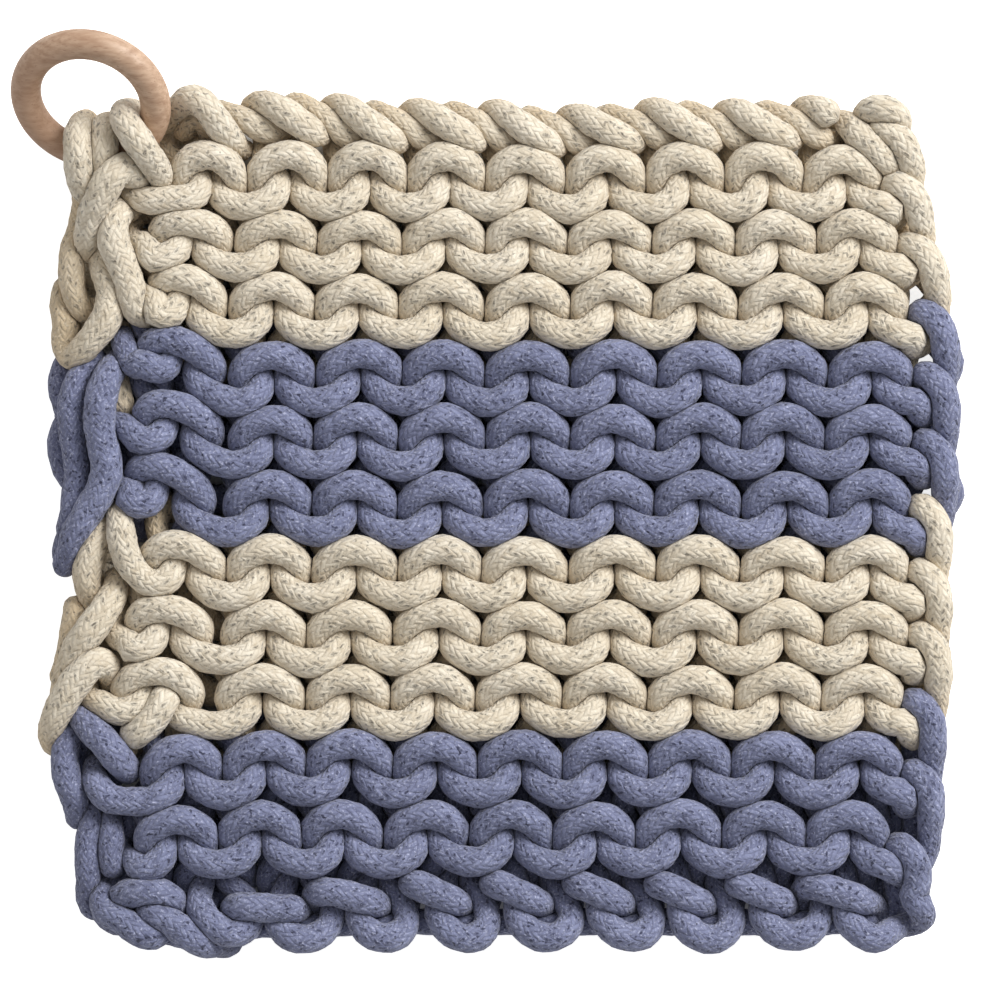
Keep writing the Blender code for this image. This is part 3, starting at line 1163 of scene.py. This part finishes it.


# Cords given point by point, each as (column, row, height over the table in mm) of its points.
# First the ones that climb the left side of each stripe, and one along the cast-on edge.
SIDE_CORDS = {
    "cream_stripe_upper": (
        (
            (98, 240, 7), (99, 258, 10.5), (106, 277, 12.5), (112, 296, 13.5), (106, 320, 14),
            (88, 344, 12.5), (74, 357, 10), (66, 348, 7), (65, 322, 7), (64, 300, 6), (74, 276, 4),
        ),
        (
            (152, 190, 6), (140, 174, 11.5), (123, 165, 17), (110, 176, 18.5), (101, 197, 17.5),
            (94, 219, 15), (87, 240, 11.5), (82, 258, 7),
        ),
        (
            (138, 206, 7), (122, 208, 12), (112, 222, 15.5), (114, 244, 16.5), (124, 265, 16.5),
            (132, 288, 16), (142, 308, 13), (156, 322, 7),
        ),
        (
            (88, 182, 6), (87, 200, 7), (83, 222, 7.5), (78, 246, 9), (73, 270, 10), (74, 292, 9.5),
            (84, 310, 7.5), (97, 296, 4),
        ),
        (
            (140, 188, 3.6), (112, 200, 3.6), (94, 222, 3.6), (112, 240, 3.6), (146, 238, 3.6),
            (116, 258, 3.6), (86, 266, 3.6), (96, 290, 3.6), (112, 308, 3.6), (84, 324, 3.6),
            (112, 336, 3.6), (130, 322, 3.6),
        ),
        ((114, 374, 4), (117, 390, 9), (118, 406, 9.5), (116, 424, 4)),
    ),
    "blue_stripe_upper": (
        (
            (130, 346, 5), (121, 358, 10), (110, 374, 14), (103, 392, 15.3), (100, 415, 15.5),
            (102, 440, 15.3), (107, 464, 15.5), (104, 486, 15.3), (91, 508, 14.5), (78, 532, 13),
            (69, 554, 10), (62, 572, 6),
        ),
        (
            (100, 352, 5), (86, 366, 9), (75, 386, 11.5), (71, 410, 11.5), (73, 440, 11),
            (77, 472, 10.5), (74, 500, 10.5), (70, 527, 9), (66, 550, 6), (70, 566, 4),
        ),
        (
            (84, 348, 3.8), (67, 366, 4.5), (62, 390, 5), (70, 414, 4.5), (65, 430, 5), (61, 450, 5),
            (69, 472, 5), (84, 488, 4), (84, 508, 3.8), (70, 526, 4), (70, 548, 3.8),
        ),
        (
            (134, 350, 3.6), (114, 376, 3.6), (90, 402, 3.6), (114, 432, 3.6), (91, 464, 3.6),
            (114, 494, 3.6), (112, 520, 3.6),
        ),
    ),
    "cream_stripe_lower": (
        ((112, 512, 7), (100, 530, 11), (90, 552, 12.5), (86, 578, 11.5), (91, 600, 8), (102, 614, 5)),
        (
            (118, 572, 6), (115, 590, 11), (106, 608, 14), (94, 626, 15), (80, 645, 14), (70, 665, 12),
            (64, 686, 10), (62, 704, 7),
        ),
        ((84, 598, 6), (76, 620, 8), (70, 645, 8.5), (66, 668, 8), (58, 690, 6.5)),
        (
            (112, 690, 5), (111, 674, 10), (100, 662, 14.5), (87, 668, 15.5), (74, 685, 15),
            (62, 705, 14), (54, 724, 12), (54, 740, 8.5), (64, 750, 5),
        ),
        ((172, 692, 12), (162, 704, 15), (150, 718, 16), (138, 730, 15), (126, 738, 11)),
        (
            (120, 540, 3.6), (95, 560, 3.6), (102, 590, 3.6), (80, 620, 3.6), (106, 645, 3.6),
            (76, 670, 3.6), (100, 700, 3.6), (64, 714, 3.6),
        ),
    ),
    "blue_stripe_lower": (
        ((74, 712, 6), (66, 735, 10), (64, 760, 12), (70, 785, 12), (80, 805, 10), (86, 824, 6)),
        ((74, 712, 8), (88, 725, 13), (104, 741, 15.3), (119, 759, 14.5), (132, 778, 8)),
        ((84, 806, 6), (89, 826, 9.5), (87, 850, 10.5), (91, 876, 10), (97, 896, 8), (108, 912, 5)),
        ((104, 812, 6), (110, 834, 10.5), (113, 858, 10.5), (114, 880, 8)),
        ((108, 914, 6), (117, 899, 12), (140, 893, 15), (164, 901, 14), (178, 914, 8)),
        (
            (104, 900, 4), (110, 914, 8), (126, 919, 9.5), (147, 921, 10), (168, 928, 10.5),
            (190, 936, 9), (206, 930, 5),
        ),
        (
            (214, 926, 8), (300, 924, 8.5), (390, 922, 8.5), (470, 922, 8.5), (550, 922, 8.5),
            (630, 922, 8.5), (710, 922, 8.5), (790, 922, 8.5), (880, 920, 8),
        ),
        (
            (132, 730, 3.6), (108, 726, 3.6), (80, 744, 3.6), (84, 768, 3.6), (108, 776, 3.6),
            (88, 796, 3.6), (114, 816, 3.6), (92, 840, 3.6), (118, 862, 3.6), (100, 892, 3.6),
            (130, 910, 3.6), (158, 916, 3.6), (182, 920, 3.6),
        ),
    ),
}
# Short cords that close the two ends of the cast-off edge.
EDGE_CORDS = (
    (
        (858, 128, 5), (864, 115, 11), (877, 112, 15), (891, 118, 15), (896, 134, 11.5), (893, 148, 6),
        (878, 142, 4), (858, 130, 4.6), (840, 128, 5.5), (824, 122, 5.5),
    ),
    ((842, 116, 8), (856, 132, 13.5), (874, 149, 15.2), (891, 168, 13), (902, 190, 7)),
    ((180, 142, 6), (182, 126, 8.5), (192, 117, 10), (204, 123, 9.5), (212, 138, 6)),
)
# The cord of the loops round the ring, and of the strand from them to the cast-off edge.
RING_CORD = (
    (118, 196, 5), (100, 196, 9.5), (84, 184, 15.5), (80, 156, 18.5), (79, 134, 15.5), (84, 128, 6),
    (92, 150, 2), (100, 176, 5), (105, 172, 12), (106, 152, 17.5), (107, 134, 13), (113, 126, 7.5),
    (128, 140, 4), (150, 166, 5), (164, 180, 10.5), (156, 166, 17.5), (143, 144, 22), (131, 123, 21),
    (128, 113, 15), (142, 114, 9.5), (166, 124, 8), (177, 112, 10.5), (188, 101, 14.5), (202, 103, 17),
    (213, 116, 17), (225, 132, 15), (238, 144, 11), (250, 150, 6),
)


@dataclass(frozen=True)
class Rope:
    """One of the two cords that lean over each other along the cast-off edge.

    Args:
        first_tip: picture column of the low tip of its first strand.
        first_turn: turn at its left end, where a turn is one strand in front and one behind.
        last_turn: turn at its right end.
        drop: how far it lies below the other cord in the picture.
        level: height of its middle over the table, in millimetres.
    """

    first_tip: float
    first_turn: float
    last_turn: float
    drop: float
    level: float


@dataclass
class Knitting:
    """The whole knitted pad: its four stripes, edges and the loops that hold the ring."""

    stitch: StitchShape = field(default_factory=StitchShape)
    links: EdgeLinks = field(default_factory=EdgeLinks)
    settling: Settling = field(default_factory=Settling)
    tube: BraidedTube = field(default_factory=BraidedTube)
    firm: float = 0.1  # how firmly the cords given point by point keep to their runs
    side_girth: float = 1.1  # thickness of the side cords as a part of the usual one
    # the two cords that twine along the cast-off edge
    ropes: tuple = (Rope(240.0, 0.6, 8.25, 0.0, 11.6), Rope(279.0, -0.3, 7.75, 5.0, 7.6))
    rope_points: int = 190
    rope_pitch_px: float = 78.5  # picture width of one strand of them, from tip to tip
    rope_middle_px: float = 125.0  # picture row of the middle of the cast-off edge
    rope_half_height_px: float = 14.5  # half of the height that a strand falls through
    rope_lean_px: float = 10.5
    rope_depth: float = 4.4  # how far the strands turn to the front and back, in millimetres
    rope_lag: float = 0.35  # how much later in a turn they do so, in radians
    # size, length and start of the waves that make the edge uneven, in pixels
    rope_waves: tuple = ((3.0, 71.0, 0.0), (2.0, 29.0, 1.0))
    rope_rise_px: float = 6.0  # how far the edge rises near its left end
    rope_rise_middle_px: float = 270.0  # picture column where it rises most
    rope_rise_reach_px: float = 80.0  # how far from there the rise fades

    def stripe_run(self, stripe: Stripe) -> np.ndarray:
        """Lays the cord of one stripe, from its first row at the bottom to its last at the top."""
        parts = []
        for ridge in range(stripe.last, stripe.first - 1, -1):
            parts.append(self.stitch.row(ridge, Face.FRONT))
            parts.append(self.links.right(ridge))
            parts.append(self.stitch.row(ridge, Face.BACK)[::-1])
            parts.append(self.links.left(ridge))
        return np.vstack(parts)

    def cast_off(self) -> list:
        """Lays the cast-off edge: two cords that lean over each other along the top, and its two ends.

        Returns:
            The runs of its cords.
        """
        runs = []
        for rope in self.ropes:
            turn = np.linspace(rope.first_turn, rope.last_turn, self.rope_points)
            phase = 2 * math.pi * turn
            x = rope.first_tip + self.rope_pitch_px * (turn - 0.5) - self.rope_lean_px * (1 + np.cos(phase))
            wave = sum(size * np.sin(x / long + late) for size, long, late in self.rope_waves)
            aside = (x - self.rope_rise_middle_px) / self.rope_rise_reach_px
            y = self.rope_middle_px + rope.drop + wave - self.rope_rise_px * np.exp(-(aside**2))
            y = y - self.rope_half_height_px * np.cos(phase)
            z = rope.level - PAD_MIDDLE + self.rope_depth * np.sin(phase - self.rope_lag)
            runs.append(np.stack([PICTURE.x(x), PICTURE.y(y), z], axis=1))
        return runs + [PICTURE.over_table(cord) for cord in EDGE_CORDS]

    def strands(self) -> list:
        """Lays every strand of the pad."""
        strands = [Strand(s.name, s.yarn, self.stripe_run(s)) for s in STRIPES]
        for stripe in STRIPES:
            for cord in SIDE_CORDS[stripe.name]:
                run = PICTURE.over_table(cord)
                strands.append(Strand(stripe.name, stripe.yarn, run, self.firm, self.side_girth))
        for run in self.cast_off():
            strands.append(Strand("cast_off_edge", Yarn.CREAM, run, self.firm))
        strands.append(Strand("ring_loops", Yarn.CREAM, PICTURE.over_table(RING_CORD), self.firm))
        return strands

    def build(self, ring: RingPlace, finishes: dict) -> list:
        """Builds and dresses the knitted pieces.

        Args:
            ring: where the hanging ring lies.
            finishes: the material for each yarn.

        Returns:
            The pieces.
        """
        strands = self.strands()
        runs = self.settling.settle(strands, ring)
        skins = self.tube.skin(runs, [s.girth for s in strands], ring)
        pieces = []
        for name in dict.fromkeys(s.piece for s in strands):
            mine = [n for n, s in enumerate(strands) if s.piece == name]
            yarn = strands[mine[0]].yarn
            piece = self.tube.mesh(name, [skins[n] for n in mine])
            piece.data.materials.append(finishes[yarn])
            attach(piece, BODY)
            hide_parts(PAD_NODE)
            log.info("%s: %d faces", name, len(piece.data.polygons))
            pieces.append(piece)
        return pieces


@dataclass
class HangingRing:
    """The turned wooden ring, in the place of the CAD ring."""

    place: RingPlace = field(default_factory=RingPlace)
    steps: int = 160
    section_steps: int = 48

    def build(self, finish: WoodFinish) -> bpy.types.Object:
        """Builds and dresses the ring.

        Args:
            finish: its wood.

        Returns:
            The piece.
        """
        radius, half = self.place.radius(), self.place.section / 2
        frame_of_ring = self.place.matrix()
        verts, faces = [], []
        for n in range(self.steps):
            a = 2 * math.pi * n / self.steps
            for m in range(self.section_steps):
                b = 2 * math.pi * m / self.section_steps
                out = radius + half * math.cos(b)
                spot = Vector((out * math.cos(a), out * math.sin(a), half * math.sin(b)))
                verts.append((frame_of_ring @ spot) * MM)
                n1, m1 = (n + 1) % self.steps, (m + 1) % self.section_steps
                faces.append([k * self.section_steps + j for k, j in ((n, m), (n1, m), (n1, m1), (n, m1))])
        data = smooth_mesh("wooden_ring", verts, faces)
        data.materials.append(finish.make())
        piece = add_object("wooden_ring", data)
        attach(piece, BODY)
        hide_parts(RING_NODE)
        log.info("wooden_ring: %d faces", len(data.polygons))
        return piece


@dataclass(frozen=True)
class Lamp:
    """One soft square lamp that faces the pad.

    Args:
        name: its name.
        place: where it hangs, in metres.
        side: side of its square, in metres.
        power: its watts.
        tint: colour of its light.
    """

    name: str
    place: tuple
    side: float
    power: float
    tint: tuple

    def hang(self) -> bpy.types.Object:
        """Hangs the lamp."""
        data = bpy.data.lights.new(self.name, "AREA")
        data.size = self.side
        data.energy = self.power
        data.color = self.tint
        lamp = add_object(self.name, data)
        lamp.location = self.place
        lamp.rotation_euler = (-Vector(self.place)).to_track_quat("-Z", "Y").to_euler()
        return lamp


@dataclass
class Studio:
    """The pale floor that glows except in the pad's shade, the soft light and the camera straight above."""

    floor_size: float = 6.0
    floor_colour: tuple = (0.93, 0.93, 0.93)
    shade_middle: tuple = (2.0, -7.0)  # middle of the shade, in millimetres
    shade_half: tuple = (93.5, 91.5)  # half of its width and length, in millimetres
    shade_corner: float = 12.0  # how square its corners are
    shade_edge: float = 0.85  # where its soft edge begins, as a part of the way out
    glow: float = 0.8
    glow_on_pad: float = 0.05  # how much of the glow lights the pad
    lamps: tuple = (
        Lamp("window_light", (1.7, 1.5, 1.7), 1.45, 91.0, (1.0, 0.99, 0.97)),
        Lamp("fill_light", (-0.9, 0.2, 1.2), 1.2, 2.0, (1.0, 0.93, 0.84)),
    )
    room_light: float = 0.42  # strength of the even light of the room
    camera_height: float = 2.5
    subject_height: float = 0.013  # height over the floor where the picture's scale holds, in metres
    sensor_mm: float = 36.0

    def floor(self) -> bpy.types.Object:
        """Lays the floor."""
        edge = self.floor_size / 2
        corners = [(x * edge, y * edge, 0) for x, y in ((-1, -1), (1, -1), (1, 1), (-1, 1))]
        data = bpy.data.meshes.new("studio_floor")
        data.from_pydata(corners, [], [(0, 1, 2, 3)])
        material, s, shader = new_material("pale_floor")
        shader.inputs["Base Color"].default_value = (*self.floor_colour, 1.0)
        shader.inputs["Roughness"].default_value = 0.9
        shader.inputs["Specular IOR Level"].default_value = 0.1
        shader.inputs["Emission Color"].default_value = (1.0, 1.0, 1.0, 1.0)
        place = s.parts(s.in_space())
        far = []
        for axis, middle, half in zip("XY", self.shade_middle, self.shade_half):
            away = s.math("ABSOLUTE", s.minus(place[axis], middle * MM))
            far.append(s.math("POWER", s.math("DIVIDE", away, half * MM), self.shade_corner))
        unshaded = s.span(s.plus(*far), self.shade_edge, 1.0, 0.0, 1.0)
        seen = s.add("LightPath").outputs["Is Camera Ray"]
        glow = s.span(seen, 0.0, 1.0, self.glow_on_pad, self.glow)
        s.put(shader.inputs["Emission Strength"], s.times(glow, unshaded))
        data.materials.append(material)
        floor = add_object("studio_floor", data)
        return floor

    def light(self) -> None:
        """Hangs the lamps and sets the even light of the room."""
        for lamp in self.lamps:
            lamp.hang()
        world = bpy.data.worlds.new("white_room")
        world.use_nodes = True
        back = world.node_tree.nodes["Background"]
        back.inputs["Color"].default_value = (1.0, 1.0, 1.0, 1.0)
        back.inputs["Strength"].default_value = self.room_light
        bpy.context.scene.world = world
        bpy.context.scene.view_settings.view_transform = "Standard"

    def camera(self) -> bpy.types.Object:
        """Sets the camera above the pad, so that the picture's scale holds at the top of the stitches."""
        data = bpy.data.cameras.new("overhead_camera")
        data.sensor_width = self.sensor_mm
        span = 2 * PICTURE.middle / PICTURE.pixels_per_mm * MM
        data.lens = self.sensor_mm * self.camera_height / span
        camera = add_object("overhead_camera", data)
        x, y = PICTURE.x(PICTURE.middle) * MM, PICTURE.y(PICTURE.middle) * MM
        camera.location = (x, y, self.subject_height + self.camera_height)
        bpy.context.scene.camera = camera
        return camera


def main() -> None:
    """Builds the studio, the ring and the knitting in order."""
    logging.basicConfig(level=logging.INFO, format="%(message)s")
    studio = Studio()
    studio.camera()
    studio.light()
    studio.floor()
    log.info("studio: camera, lamps and floor")
    groups = ShaderGroups()
    groups.braid()
    groups.cotton()
    finishes = {Yarn.CREAM: CREAM_FINISH.make(groups), Yarn.BLUE: BLUE_FINISH.make(groups)}
    ring = HangingRing()
    ring.build(WoodFinish())
    Knitting().build(ring.place, finishes)


if __name__ == "__main__":
    main()
